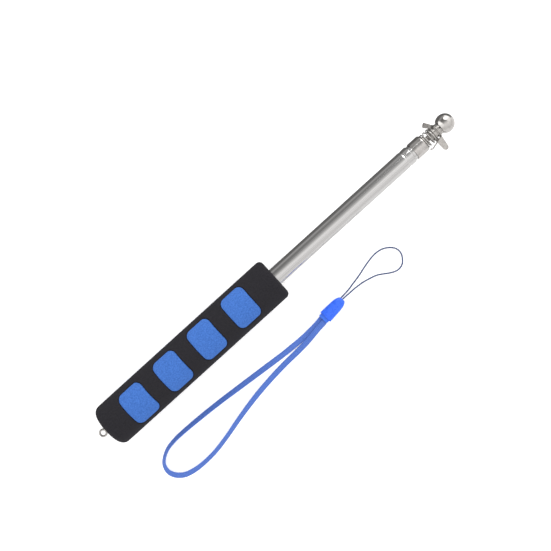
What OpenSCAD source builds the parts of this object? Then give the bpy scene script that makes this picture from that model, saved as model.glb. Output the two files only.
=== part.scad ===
// Telescopic hand flagpole, collapsed and lying on its grip, with its wrist strap beside it.
// The pole runs along X: the butt is at -X and the ball at +X. Z is up and the surface is at z = 0.

/* [Grip] */
// Outer diameter of the foam grip
grip_d = 36.8; // [35:0.2:40]
// Length of the foam grip
grip_len = 180; // [172:1:186]
// Edge rounding at the butt end of the grip
grip_butt_round = 6; // [3:0.5:8]
// Edge rounding at the front end of the grip
grip_front_round = 4; // [2:0.5:6]
// Length of each inlay along the pole
inlay_len = 22.8; // [16:0.2:26]
// Width of each inlay across the pole
inlay_wide = 29.6; // [22:0.2:30]
// Corner radius of each inlay
inlay_corner = 5; // [3:0.5:7]
// Distance between inlay centres
inlay_pitch = 36.5; // [34:0.5:38]
// Turn about the pole from one inlay to the next, in degrees
inlay_turn = 2.8; // [0:0.1:3]

/* [Tubes] */
// Outer diameter of the widest tube
tube_d = 14.8; // [14.6:0.1:15.2]
// Wall thickness of every tube
wall = 0.4; // [0.35:0.01:0.4]
// Radius lost from one section to the next
radius_step = 0.8; // [0.8:0.01:0.85]
// Travel of each section
travel = 285; // [240:1:287]
// Depth of the rolled groove behind each mouth
groove_depth = 0.3; // [0.2:0.05:0.3]
// Width of the rolled groove
groove_w = 2.2; // [1.6:0.1:2.4]

/* [Tip] */
// Diameter of the ball finial
ball_d = 16; // [14:0.5:18]
// Diameter of the rod that carries the clip and the ball
stud_d = 5; // [4:0.5:5]
// Outer diameter of the clip spring
spring_d = 12.6; // [11.6:0.1:12.6]
// Wire diameter of the clip spring
spring_wire = 1; // [0.8:0.05:1]
// Turns of the clip spring
spring_turns = 4; // [3:0.5:4.5]
// Sheet thickness of the clip leaves
leaf_t = 0.8; // [0.6:0.1:0.8]

/* [Eye] */
// Radius of the lanyard hole
eye_hole_r = 1.9; // [1.6:0.1:2.2]
// Height of the eye along its hole
eye_tall = 2.4; // [2:0.1:3]

/* [Strap] */
// Width of the flat band
band_w = 4.8; // [3:0.1:4.8]
// Thickness of the flat band
band_t = 1.1; // [0.8:0.1:1.2]
// Diameter of the thin cord loop
cord_d = 1.2; // [0.8:0.1:1.2]

/* [Hidden] */

smooth = 96;                    // facets shown on round surfaces
slack = 0.05;                   // radial clearance of a running fit
seat = 0.02;                    // clearance between pieces fixed to each other
over = 1;                       // how far a cutter runs past what it cuts

axis_z = grip_d / 2;            // height of the pole's axis over the surface
half_len = 190;                 // the pole reaches this far each way from the origin

// Stations along the pole
grip_back = -181;
grip_front = grip_back + grip_len;
tube_back = -178;               // back end of the widest tube, inside the grip
nest_back = -163.3;             // back ends of the nested sections
mouth_1 = 145.3;                // mouth of the widest tube
mouth_2 = 149;                  // mouth of the second section
mouth_step = 2.5;               // each later mouth stands this much further out
cap_back = 147.3;
cap_wall_back = 155.5;          // inner face of the cap's end wall
cap_front = 158.8;
seat_x = 168.8;                 // where the spring meets the hub's flange
hub_back = 166;
leaf_upper_x = 171.6;           // back face of the upper leaf's disc
leaf_lower_x = leaf_upper_x + leaf_t;
hub_front = 174;
washer_x = hub_front + slack;
washer_t = 1;
washer_r = 5.2;
lock_x = washer_x + washer_t;
lock_t = 1.3;
lock_r = 4.7;
lock_loose = 0.1;               // radial clearance of the split washer
lock_slit = 1;
lock_slit_turn = 20;            // degrees that the slit leans
ball_x = half_len - ball_d / 2; // centre of the ball

// Tubes
tube_r = [for (k = [0:4]) tube_d / 2 - k * radius_step];
mouth_x = [mouth_1, mouth_2, mouth_2 + mouth_step, mouth_2 + 2 * mouth_step];
groove_back = 6.1;              // groove centre, behind the mouth
groove_r = (groove_w * groove_w / 4 + groove_depth * groove_depth) / (2 * groove_depth);
bead_half = sqrt(pow(groove_r + wall, 2) - pow(groove_r + wall - groove_depth, 2));
lip_r = wall + 0.3;             // outer radius of the turned-in lip
mouth_bush_len = 3.8;
slide_bush_len = 16;
slide_bush_slit = 1.2;
stop_gap = 0.3;                 // left between bush and bead at full reach

// Grip
bore_r = tube_d / 2 + seat;
inlay_gap = 0.1;                // clearance round each inlay
inlay_back = 0.9;               // the row of inlays stands this much nearer the butt
inlay_true = 3.4;               // the row of inlays faces straight up here, counted in inlays
inlay_sink = 0.1;               // the inlays lie this far under the foam's surface

// Butt
flange_t = 1.2;
DOME = [[9.4, 0], [9.1, 0.4], [7.2, 0.9], [4.7, flange_t]];    // radius, height over the foam's end
plug_front = -166.5;
pad_front = nest_back - 0.2;
shank_r = 2;
eye_wall = 1.6;
eye_r = eye_hole_r + eye_wall;
eye_x = eye_r - half_len;
collar_r = 4.5;                 // the eye's conical collar, from its root
collar_tip_r = 2.4;             // to close by the hole
collar_gap = 0.2;

// Tip
cap_round = 1.2;
cap_skirt = 0.45;               // thickness of the cap's skirt
nut_flats = 8;
nut_t = 2.7;
nut_chamfer = 0.5;
hub_r = 4.6;
hub_flange_r = 6;
hub_flange_t = 1;
hub_collar = 0.8;               // how far the hub's front collar overhangs the leaves
lower_disc_r = 6.2;
upper_disc_r = 5.5;
leaf_room = 0.2;                // clearance of the upper tab round the lower leaf's disc
spring_room_r = spring_d / 2 + 0.2;
leg_tall = 5.5;                 // height of the hooked leg
leg_x = leaf_lower_x + leaf_t - seat;
leg_y = -5.8;                   // middle of the leg's sheet where it leaves the disc
leg_len = 12.4;
leg_flare = 14;                 // degrees that the leg opens out
lip_bend_r = 1.2;
tab_root_w = 6.2;               // lower finger tab, at the leg
tab_mid_w = 4;
tab_mid_y = -15.2;              // here its sides turn into its round end
tab_end_r = 1.9;
tab_mid_x = 170.7;
upper_tab_w = 4.8;
upper_tab_len = 8.8;
upper_tab_sweep = 38;           // degrees that the upper tab leans back from square
upper_tab_x = 173.2;            // middle of the upper tab's root
upper_tab_y = 4.1;
tab_drop = 12;                  // degrees that the tabs slope down going outwards
bead_t = 0.35;                  // height of the stiffening bead on the lower tab
bead_inset = 1.3;
stud_back = 143;
stud_front = 184;
plug_len = 12;
tip_plug_front = cap_wall_back - seat;

// Strap: the ferrule lies along X, turned a little towards +Y, its nose towards +X
ferrule_back = 7.2;
ferrule_front = 27.5;
ferrule_y = -51.6;              // middle of its mouth
ferrule_z = 3.5;
ferrule_turn = 3.5;             // degrees
side_flat = 0.6;                // half of the flat left between two rounded long edges
ferrule_w = 11.2;
ferrule_t = 7;
shoulder_w = 10;
shoulder_t = 6.6;
shoulder_back = 6;              // the shoulder's front face, behind the nose's
nose_w = 5.8;
nose_t = 4.4;
nose_bore_r = 1.5;
nose_bore_back = 20;
nose_shift = 0.9;               // the bore stands this far to the left of the nose's middle
plug_back = 4.4;
plug_w = 8.9;
plug_t = 4.4;
plug_inner = 15;
band_part = 2.8;                // distance between the two ends of the band, side by side
slot_play = 0.3;
slot_w = band_w + band_part + slot_play;
slot_t = 2 * band_t + slot_play;
slot_front = 9;
band_gap = 0.05;                // the two ends of the band lie this far from the slot's middle

function ferrule_mid(x) = ferrule_y + (x - ferrule_back) * tan(ferrule_turn);

// Route of the band's centre: x, y, clearance under the band, twist in degrees
band_low = ferrule_z - band_gap - band_t;
band_high = ferrule_z + band_gap;
BAND = [
    [9, ferrule_mid(9) + band_part / 2, band_low, 0], [5, -50.6, 2.2, 0], [2, -50.9, 1.9, 0],
    [-3, -51.6, 1.3, 0], [-8, -51.9, 0.8, 0], [-14, -52.2, 0.2, 0], [-20, -52.2, 0, 0],
    [-30, -51.8, 0, 0], [-40, -51.2, 0, 0], [-60, -49.3, 0, 12], [-80, -47.4, 0, 22],
    [-100, -45.5, 0, 32], [-120, -44.1, 0, 38], [-140, -43.3, 0, 46], [-151, -43.5, 0, 50],
    [-160, -45, 0, 56], [-167, -48.6, 0, 58], [-170.8, -52.6, 0, 50], [-172.3, -57.2, 0, 36],
    [-171.8, -61.8, 0, 20], [-168.6, -66.8, 0, 12], [-162.6, -70.8, 0, 18],
    [-152, -73.1, 0, 34], [-140, -73.3, 0, 40], [-130, -72.4, 0, 42], [-116, -69.7, 0, 42],
    [-100, -65.9, 0, 36], [-84, -62.7, 0, 26], [-70, -60.5, 0, 18], [-54, -58.8, 0, 8],
    [-40, -57.9, 0.1, 0], [-30, -57.6, 0.5, 0], [-20, -57, 1.1, 0], [-14, -56.3, 1.5, 0],
    [-8, -55.4, 2.05, 0], [-3, -54.6, 2.6, 0], [2, -54.2, 3.15, 0], [5, -53.7, 3.4, 0],
    [9, ferrule_mid(9) - band_part / 2, band_high, 0]];
// Route of the thin cord's centre: x, y, z
cord_side = 0.85;
LOOP = [
    [20, ferrule_mid(20) + nose_shift + cord_side, ferrule_z],
    [27.5, ferrule_mid(27.5) + nose_shift + cord_side, ferrule_z], [36, -47.9, 2.2],
    [42, -46.8, 1], [50, -45.3, 0.6], [60, -42.7, 0.6], [68, -41.1, 0.6], [73, -40.8, 0.6],
    [78, -41.5, 0.6], [82.5, -43.5, 0.6], [86.2, -46.7, 0.6], [88.3, -50.6, 0.6],
    [88.3, -54.7, 0.6], [86.4, -58.6, 0.6], [83.3, -61.8, 0.6], [79, -63.2, 0.6],
    [74.5, -62.4, 0.6], [70, -60.1, 0.6], [65.4, -57, 0.6], [60, -54.2, 0.6], [50, -51.6, 0.6],
    [42, -50.7, 1], [36, -50.5, 2.2], [27.5, ferrule_mid(27.5) + nose_shift - cord_side, ferrule_z],
    [20, ferrule_mid(20) + nose_shift - cord_side, ferrule_z]];

// ---- Helpers ----

// Stands a shape made along +Z at station x on the pole's axis, along +X
module on_axis(x) {
    translate([x, 0, axis_z]) rotate([0, 90, 0]) children();
}

module rod(x0, x1, r) {
    on_axis(x0) cylinder(h = x1 - x0, r = r, $fn = smooth);
}

module ring(x0, x1, r_in, r_out) {
    on_axis(x0) difference() {
        cylinder(h = x1 - x0, r = r_out, $fn = smooth);
        translate([0, 0, -over]) cylinder(h = x1 - x0 + 2 * over, r = r_in, $fn = smooth);
    }
}

// A flat rounded rectangle round the origin
module rounded_rect(w, h, r) {
    square([w, h - 2 * r], center = true);
    square([w - 2 * r, h], center = true);
    for (sx = [-1, 1], sy = [-1, 1])
        translate([sx * (w / 2 - r), sy * (h / 2 - r)]) circle(r, $fn = smooth);
}

// A point on the curve that passes smoothly through p1 and p2
function between(p0, p1, p2, p3, t) =
    0.5 * (2 * p1 + (p2 - p0) * t + (2 * p0 - 5 * p1 + 4 * p2 - p3) * t * t
        + (3 * p1 - p0 - 3 * p2 + p3) * t * t * t);

// The route with steps points to each of its stretches
function eased(route, steps) =
    let (last = len(route) - 1)
    [for (i = [0:last - 1], j = [0:steps - 1])
        between(route[max(i - 1, 0)], route[i], route[i + 1], route[min(i + 2, last)], j / steps),
    route[last]];

function unit(v) = v / norm(v);

function heading(line, i) =
    unit(line[min(i + 1, len(line) - 1)] - line[max(i - 1, 0)]);

// One ring of the swept section, turned by twist about the line's heading
function ring_at(centre, along, twist, section) =
    let (side = unit(cross([0, 0, 1], along)), up = cross(along, side))
    let (across = cos(twist) * side + sin(twist) * up)
    let (over_it = cos(twist) * up - sin(twist) * side)
    [for (p = section) centre + p[0] * across + p[1] * over_it];

// A tube of the given section along a line
module sweep(line, twists, section) {
    n = len(section);
    rings = len(line);
    points = [for (i = [0:rings - 1])
        each ring_at(line[i], heading(line, i), twists[i], section)];
    near_sides = [for (i = [0:rings - 2], j = [0:n - 1])
        [i * n + j, i * n + (j + 1) % n, (i + 1) * n + (j + 1) % n]];
    far_sides = [for (i = [0:rings - 2], j = [0:n - 1])
        [i * n + j, (i + 1) * n + (j + 1) % n, (i + 1) * n + j]];
    start = [[for (j = [n - 1:-1:0]) j]];
    end = [[for (j = [0:n - 1]) (rings - 1) * n + j]];
    polyhedron(points = points, faces = concat(near_sides, far_sides, start, end), convexity = 4);
}

// ---- Grip ----

// Half section of the foam, radius along x and station along y
module grip_section(r_in, r_out) {
    back = grip_butt_round;
    front = grip_front_round;
    intersection() {
        translate([r_in, grip_back]) square([r_out - r_in, grip_len]);
        union() {
            translate([0, grip_back + back]) square([r_out, grip_len - back - front]);
            translate([0, grip_back]) square([r_out - back, grip_len / 2]);
            translate([0, grip_front - grip_len / 2]) square([r_out - front, grip_len / 2]);
            translate([r_out - back, grip_back + back]) circle(back, $fn = smooth);
            translate([r_out - front, grip_front - front]) circle(front, $fn = smooth);
        }
    }
}

// The straight punch that makes window i, or its plug when it is shrunk
module window(i, shrink) {
    x = grip_back + grip_len / 2 - inlay_back + (i - 2.5) * inlay_pitch;
    translate([x, 0, axis_z]) rotate([(inlay_true - i) * inlay_turn, 0, 0])
        translate([0, 0, -grip_d]) linear_extrude(2 * grip_d)
            rounded_rect(inlay_len - 2 * shrink, inlay_wide - 2 * shrink, inlay_corner - shrink);
}

module grip_foam() {
    color("#2c2d30") difference() {
        on_axis(0) rotate_extrude($fn = smooth) grip_section(bore_r, grip_d / 2);
        for (i = [1:4]) window(i, 0);
    }
}

module inlay(i) {
    color("#4a86dc") intersection() {
        window(i, inlay_gap);
        ring(grip_back, grip_front, bore_r, grip_d / 2 - inlay_sink);
    }
}

// ---- Butt ----

module butt_plug() {
    color("#2b2b2d") difference() {
        union() {
            on_axis(0) rotate_extrude($fn = smooth)
                polygon([[0, grip_back], for (p = DOME) [p[0], grip_back - p[1]],
                    [0, grip_back - flange_t]]);
            rod(grip_back, tube_back - seat, bore_r - seat);
            rod(tube_back - seat, plug_front, tube_r[0] - wall - seat);
        }
        rod(grip_back - flange_t - over, plug_front + over, shank_r);
    }
}

module lanyard_eye() {
    root = grip_back - flange_t;
    collar_back = eye_x + eye_hole_r + collar_gap;
    color("#d9dbde") union() {
        on_axis(collar_back)
            cylinder(h = root - collar_back, r1 = collar_tip_r, r2 = collar_r, $fn = smooth);
        rod(root, plug_front - over, shank_r);
        translate([eye_x, 0, axis_z]) rotate_extrude($fn = smooth) intersection() {
            union() {
                translate([eye_r - eye_tall / 2, 0]) circle(eye_tall / 2, $fn = smooth);
                translate([eye_hole_r, -eye_tall / 2])
                    square([eye_wall - eye_tall / 2, eye_tall]);
            }
            translate([eye_hole_r, -eye_tall]) square([eye_wall, 2 * eye_tall]);
        }
    }
}

module stop_pad() {
    color("#333333") rod(plug_front + seat, pad_front, tube_r[0] - wall - slack);
}

// ---- Tubes ----

// Half section of a tube whose mouth is rolled: radius along x and station along y
module mouth_section(r, x0, x1) {
    groove_x = x1 - groove_back;
    difference() {
        union() {
            translate([r - wall, x0]) square([wall, x1 - lip_r - x0]);
            intersection() {
                translate([r - groove_depth + groove_r, groove_x])
                    circle(groove_r + wall, $fn = smooth);
                translate([r - wall - groove_depth, groove_x - groove_r])
                    square([groove_depth + wall / 2, 2 * groove_r]);
            }
            translate([r - lip_r, x1 - lip_r]) intersection() {
                difference() {
                    circle(lip_r, $fn = smooth);
                    circle(lip_r - wall, $fn = smooth);
                }
                square(lip_r);
            }
        }
        translate([r - groove_depth + groove_r, groove_x]) circle(groove_r, $fn = smooth);
    }
}

// Section k, counted from 1 at the grip; the last one is plain and ends in the cap
module tube(k) {
    back = k == 1 ? tube_back : nest_back;
    color("#c9cbcf")
        if (k < 5)
            on_axis(0) rotate_extrude($fn = smooth) mouth_section(tube_r[k - 1], back, mouth_x[k - 1]);
        else
            ring(back, cap_wall_back - seat, tube_r[4] - wall, tube_r[4]);
}

// Plastic ring between the groove and the lip of tube k, which guides section k + 1
module mouth_bush(k) {
    front = mouth_x[k - 1] - lip_r - seat;
    color("#e8e8e4") ring(front - mouth_bush_len, front, tube_r[k] + slack, tube_r[k - 1] - wall - seat);
}

// Split brass ring on section k, which meets the bead of the section round it at full reach
module slide_bush(k) {
    front = mouth_x[k - 2] - groove_back - bead_half - travel - stop_gap;
    color("#b8963e") difference() {
        ring(front - slide_bush_len, front, tube_r[k - 1], tube_r[k - 2] - wall - slack);
        translate([front - slide_bush_len - over, -slide_bush_slit / 2, axis_z])
            cube([slide_bush_len + 2 * over, slide_bush_slit, grip_d]);
    }
}

// ---- Tip ----

module tip_plug() {
    color("#9a9ca0")
        ring(tip_plug_front - plug_len, tip_plug_front, stud_d / 2, tube_r[4] - wall - seat);
}

module tip_cap() {
    r = tube_r[0];
    color("#d0d2d5") on_axis(0) rotate_extrude($fn = smooth) difference() {
        union() {
            translate([stud_d / 2, cap_back]) square([r - cap_round - stud_d / 2, cap_front - cap_back]);
            translate([stud_d / 2, cap_back + cap_round])
                square([r - stud_d / 2, cap_front - cap_back - 2 * cap_round]);
            for (x = [cap_back + cap_round, cap_front - cap_round])
                translate([r - cap_round, x]) circle(cap_round, $fn = smooth);
        }
        translate([0, cap_back - over]) square([r - cap_skirt, cap_wall_back - cap_back + over]);
    }
}

module cap_nut() {
    color("#b9bbbf") on_axis(cap_front) difference() {
        intersection() {
            cylinder(h = nut_t, d = nut_flats / cos(30), $fn = 6);
            cylinder(h = nut_t, r1 = nut_flats / 2 + nut_t + nut_chamfer,
                r2 = nut_flats / 2 + nut_chamfer / 2, $fn = smooth);
        }
        translate([0, 0, -over]) cylinder(h = nut_t + 2 * over, d = stud_d, $fn = smooth);
    }
}

module tip_stud() {
    color("#b9bbbf") rod(stud_back, stud_front, stud_d / 2);
}

// The coil's ends lie flat against the cap and the hub's flange
module clip_spring() {
    steps = 24;
    count = ceil(spring_turns * steps);
    r = (spring_d - spring_wire) / 2;
    low = cap_front + spring_wire / 2 + seat;
    rise = seat_x - cap_front - spring_wire - 2 * seat;
    line = [for (i = [0:count]) let (a = 360 * i / steps)
        [low + rise * i / count, r * cos(a), axis_z + r * sin(a)]];
    section = [for (j = [0:7]) spring_wire / 2 * [cos(45 * j), sin(45 * j)]];
    color("#c4c6c9") sweep(line, [for (p = line) 0], section);
}

module clip_hub() {
    color("#c4c6c9") difference() {
        union() {
            rod(hub_back, hub_front, hub_r);
            rod(seat_x, seat_x + hub_flange_t, hub_flange_r);
            rod(leaf_lower_x + leaf_t + seat, hub_front, hub_r + hub_collar);
        }
        rod(hub_back - over, hub_front + over, stud_d / 2 + slack);
    }
}

// The disc of a leaf, which the hub passes through
module leaf_disc(x, r) {
    ring(x, x + leaf_t - seat, hub_r + seat, r);
}

// Outline of the lower finger tab, smaller by inset all round but at its root
module lower_tab_outline(inset) {
    root_x = leg_x - tab_root_w / 2;
    slope = tan(leg_flare);
    half_root = tab_root_w / 2 - inset;
    half_mid = tab_mid_w / 2 - inset;
    root_y = leg_y - slope * tab_root_w / 2;
    polygon([[root_x - half_root, root_y - slope * half_root],
        [root_x + half_root, root_y + slope * half_root],
        [tab_mid_x + half_mid, tab_mid_y], [tab_mid_x - half_mid, tab_mid_y]]);
    translate([tab_mid_x, tab_mid_y]) circle(tab_end_r - inset, $fn = smooth);
}

module clip_leaf_lower() {
    color("#d0d2d5") union() {
        leaf_disc(leaf_lower_x, lower_disc_r);
        // finger tab with its stiffening bead
        translate([0, leg_y, axis_z]) rotate([tab_drop, 0, 0]) translate([0, -leg_y, 0]) {
            linear_extrude(leaf_t, center = true) lower_tab_outline(0);
            linear_extrude(leaf_t / 2 + bead_t) lower_tab_outline(bead_inset);
        }
        // leg with its hooked lip
        translate([leg_x, leg_y, axis_z - leg_tall / 2]) rotate([0, 0, leg_flare])
            linear_extrude(leg_tall) {
                translate([-leg_len, -leaf_t / 2]) square([leg_len, leaf_t]);
                translate([-leg_len, lip_bend_r - leaf_t / 2]) intersection() {
                    difference() {
                        circle(lip_bend_r, $fn = smooth);
                        circle(lip_bend_r - leaf_t, $fn = smooth);
                    }
                    translate([-lip_bend_r, -lip_bend_r]) square([lip_bend_r, 1.5 * lip_bend_r]);
                }
            }
    }
}

module clip_leaf_upper() {
    color("#b4b6ba") union() {
        leaf_disc(leaf_upper_x, upper_disc_r);
        difference() {
            translate([upper_tab_x, upper_tab_y, axis_z])
                rotate([0, 0, upper_tab_sweep]) rotate([-tab_drop, 0, 0])
                    translate([-upper_tab_w / 2, 0, -leaf_t / 2])
                        cube([upper_tab_w, upper_tab_len, leaf_t]);
            // room for the hub, its flange with the spring, and the lower leaf
            rod(cap_front, ball_x, hub_r + seat);
            rod(cap_front, seat_x + hub_flange_t + slack, spring_room_r);
            rod(leaf_lower_x - seat / 2, ball_x, lower_disc_r + leaf_room);
        }
    }
}

module clamp_washer() {
    color("#d0d2d5") ring(washer_x, washer_x + washer_t, stud_d / 2, washer_r);
}

module lock_washer() {
    color("#8f9195") difference() {
        ring(lock_x, lock_x + lock_t, stud_d / 2 + lock_loose, lock_r);
        translate([lock_x - over, -lock_slit / 2, axis_z]) rotate([0, lock_slit_turn, 0])
            cube([lock_t + 3 * over, lock_slit, 2 * lock_r]);
    }
}

module ball_finial() {
    color("#e2e4e7") on_axis(0) rotate_extrude($fn = smooth) intersection() {
        translate([0, ball_x]) circle(ball_d / 2, $fn = smooth);
        translate([stud_d / 2, lock_x + lock_t]) square([ball_d, stud_front - lock_x - lock_t]);
    }
    color("#e2e4e7") on_axis(0) rotate_extrude($fn = smooth) intersection() {
        translate([0, ball_x]) circle(ball_d / 2, $fn = smooth);
        translate([0, stud_front]) square([ball_d, ball_d]);
    }
}

// ---- Strap ----

module strap_band() {
    line = eased(BAND, 1);
    w = band_w / 2;
    t = band_t / 2;
    section = [[w, -t / 2], [w, t / 2], [w - t, t], [t - w, t], [-w, t / 2], [-w, -t / 2],
        [t - w, -t], [w - t, -t]];
    centres = [for (p = line) [p[0], p[1], p[2] + w * sin(p[3]) + t * cos(p[3])]];
    color("#4f86e8") sweep(centres, [for (p = line) p[3]], section);
}

module strap_loop() {
    section = [for (j = [0:7]) cord_d / 2 * [cos(45 * j + 22.5), sin(45 * j + 22.5)]];
    line = eased(LOOP, 2);
    color("#5b78b0") sweep(line, [for (p = line) 0], section);
}

// Puts a shape made along X about its axis into the ferrule's place, turned about the mouth
module at_ferrule() {
    translate([ferrule_back, ferrule_y, ferrule_z]) rotate([0, 0, ferrule_turn])
        translate([-ferrule_back, 0, 0]) children();
}

// A block with rounded long edges, from x0 to x1
module lozenge(x0, x1, w, t) {
    translate([x0, 0, 0]) rotate([90, 0, 90])
        linear_extrude(x1 - x0) rounded_rect(w, t, t / 2 - side_flat);
}

module strap_ferrule() {
    color("#3f72f0") at_ferrule() difference() {
        hull() {
            lozenge(ferrule_back, ferrule_back + 1, ferrule_w, ferrule_t);
            lozenge(ferrule_front - shoulder_back - 1, ferrule_front - shoulder_back,
                shoulder_w, shoulder_t);
            lozenge(ferrule_front - 1, ferrule_front, nose_w, nose_t);
        }
        lozenge(ferrule_back - over, plug_inner + seat, plug_w + 2 * seat, plug_t + 2 * seat);
        translate([nose_bore_back, nose_shift, 0]) rotate([0, 90, 0])
            cylinder(h = ferrule_front - nose_bore_back + over, r = nose_bore_r, $fn = smooth);
    }
}

module strap_plug() {
    color("#4a7ff0") at_ferrule() difference() {
        lozenge(plug_back, plug_inner, plug_w, plug_t);
        translate([plug_back - over, -slot_w / 2, -slot_t / 2])
            cube([slot_front - plug_back + over, slot_w, slot_t]);
    }
}

// ---- What is drawn ----

grip_foam();
inlay(1);  // inlay_1
inlay(2);  // inlay_2
inlay(3);  // inlay_3
inlay(4);  // inlay_4
butt_plug();
lanyard_eye();
stop_pad();
tube(1);  // tube_1
tube(2);  // tube_2
tube(3);  // tube_3
tube(4);  // tube_4
tube(5);  // tube_5
mouth_bush(1);  // mouth_bush_1
mouth_bush(2);  // mouth_bush_2
mouth_bush(3);  // mouth_bush_3
mouth_bush(4);  // mouth_bush_4
slide_bush(2);  // slide_bush_2
slide_bush(3);  // slide_bush_3
slide_bush(4);  // slide_bush_4
slide_bush(5);  // slide_bush_5
tip_plug();
tip_cap();
cap_nut();
tip_stud();
clip_spring();
clip_hub();
clip_leaf_lower();
clip_leaf_upper();
clamp_washer();
lock_washer();
ball_finial();
strap_band();
strap_loop();
strap_ferrule();
strap_plug();
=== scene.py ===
"""Looks of a collapsed telescopic hand flagpole with a foam grip, and of its wrist strap.

The pole's axis runs along X at height AXIS_Z, with the ball at +X. All lengths are in metres.
"""

import math

import bmesh
import bpy
from mathutils import Matrix, Vector


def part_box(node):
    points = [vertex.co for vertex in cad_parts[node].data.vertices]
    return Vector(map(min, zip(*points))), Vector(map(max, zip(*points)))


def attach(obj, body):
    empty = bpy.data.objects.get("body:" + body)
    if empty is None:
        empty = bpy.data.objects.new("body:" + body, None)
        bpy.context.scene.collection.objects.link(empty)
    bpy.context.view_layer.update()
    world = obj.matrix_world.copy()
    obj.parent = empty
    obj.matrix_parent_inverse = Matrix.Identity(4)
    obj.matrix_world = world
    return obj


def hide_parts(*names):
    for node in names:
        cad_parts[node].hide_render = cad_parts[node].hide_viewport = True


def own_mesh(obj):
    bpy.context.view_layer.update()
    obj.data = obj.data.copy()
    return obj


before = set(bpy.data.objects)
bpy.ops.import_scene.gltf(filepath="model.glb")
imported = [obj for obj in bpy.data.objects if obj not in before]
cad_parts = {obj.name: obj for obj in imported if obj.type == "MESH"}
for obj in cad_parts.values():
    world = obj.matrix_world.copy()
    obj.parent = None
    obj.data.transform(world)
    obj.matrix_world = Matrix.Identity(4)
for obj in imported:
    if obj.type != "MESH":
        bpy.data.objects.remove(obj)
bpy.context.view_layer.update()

MM = 0.001
AXIS_Z = (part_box("grip_foam")[0].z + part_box("grip_foam")[1].z) / 2


# ---- Shader nodes ----


def coordinates(tree, kind):
    """The X, Y and Z sockets of one kind of texture coordinates."""
    place = tree.nodes.new("ShaderNodeTexCoord")
    split = tree.nodes.new("ShaderNodeSeparateXYZ")
    tree.links.new(place.outputs[kind], split.inputs["Vector"])
    return split.outputs


def ranged(tree, source, span=(0, 1), to=(0, 1), smooth=False):
    """The source moved from one span to another, and held at its ends."""
    node = tree.nodes.new("ShaderNodeMapRange")
    if smooth:
        node.interpolation_type = "SMOOTHSTEP"
    for side, *ends in (("From", *span), ("To", *to)):
        for end, value in zip(("Min", "Max"), ends):
            node.inputs[f"{side} {end}"].default_value = value
    tree.links.new(source, node.inputs["Value"])
    return node.outputs["Result"]


def computed(tree, kind, operation, *sources):
    """The result of a Math or VectorMath node."""
    node = tree.nodes.new(f"ShaderNode{kind}")
    node.operation = operation
    for i, source in enumerate(sources):
        tree.links.new(source, node.inputs[i])
    return node.outputs[0]


# ---- Camera, light and floor ----


def add_camera():
    """Straight down over the middle of the pole, turned so that the pole rises to the right."""
    height, sideways, turn = 0.8, 0.0007, math.radians(-42.2)
    data = bpy.data.cameras.new("camera")
    camera = bpy.data.objects.new("camera", data)
    bpy.context.scene.collection.objects.link(camera)
    camera.location = (0, sideways, height)
    camera.rotation_euler = (0, 0, turn)
    data.sensor_width = 36
    data.lens = 63.87
    bpy.context.scene.camera = camera


def add_light(name, place, size, watts):
    """A soft square panel at place that faces the middle of the pole."""
    data = bpy.data.lights.new(name, "AREA")
    data.size = size
    data.energy = watts
    light = bpy.data.objects.new(name, data)
    light.location = place
    light.rotation_euler = (-Vector(place)).to_track_quat("-Z", "Y").to_euler()
    bpy.context.scene.collection.objects.link(light)


def add_world():
    """Two soft boxes past the ends of the pole, and a room that changes with the roll about X.

    The roll is the angle from straight up, towards +Y. The room is white overhead and towards -Y,
    and dark towards +Y but for one paler panel: this draws the tube's lines. Its levels were
    worked out from how bright the photographed tube is across its width, and then adjusted. Its
    dark side pales towards +X, and the boxes are brightest towards +Y.
    """
    world = bpy.data.worlds.new("studio")
    bpy.context.scene.world = world
    world.use_nodes = True
    tree = world.node_tree
    shader = tree.nodes["Background"]
    shader.inputs["Strength"].default_value = 2.0
    direction = coordinates(tree, "Generated")
    room = [  # roll in degrees, half of the radiance
        (-120, 0.66), (-62, 0.57), (-36, 0.66), (-12, 0.74), (0, 0.58), (11, 0.37), (24, 0.25),
        (47, 0.14), (60, 0.19), (74, 0.31), (86, 0.25), (100, 0.14), (150, 0.14),
    ]
    ramp = tree.nodes.new("ShaderNodeValToRGB")
    while len(ramp.color_ramp.elements) < len(room):
        ramp.color_ramp.elements.new(0.5)
    for element, (degrees, level) in zip(ramp.color_ramp.elements, room):
        element.position = 0.5 + degrees / 360
        element.color = (level, level * 0.99, level * 0.985, 1)
    roll = computed(tree, "Math", "ARCTAN2", direction["Y"], direction["Z"])
    tree.links.new(ranged(tree, roll, (-math.pi, math.pi)), ramp.inputs["Fac"])
    least = ranged(tree, direction["X"], (0.09, 0.20), (0, 0.30), smooth=True)
    paler = computed(tree, "VectorMath", "MAXIMUM", ramp.outputs["Color"], least)
    endwards = computed(tree, "Math", "ABSOLUTE", direction["X"])
    boxes = ranged(tree, endwards, (0.40, 0.65), smooth=True)
    leftwards = ranged(tree, direction["Y"], (-0.3, 0.5), smooth=True)
    lit = computed(tree, "Math", "MULTIPLY", boxes, leftwards)
    whole = computed(tree, "VectorMath", "ADD", paler, lit)
    tree.links.new(whole, shader.inputs["Color"])


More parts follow.
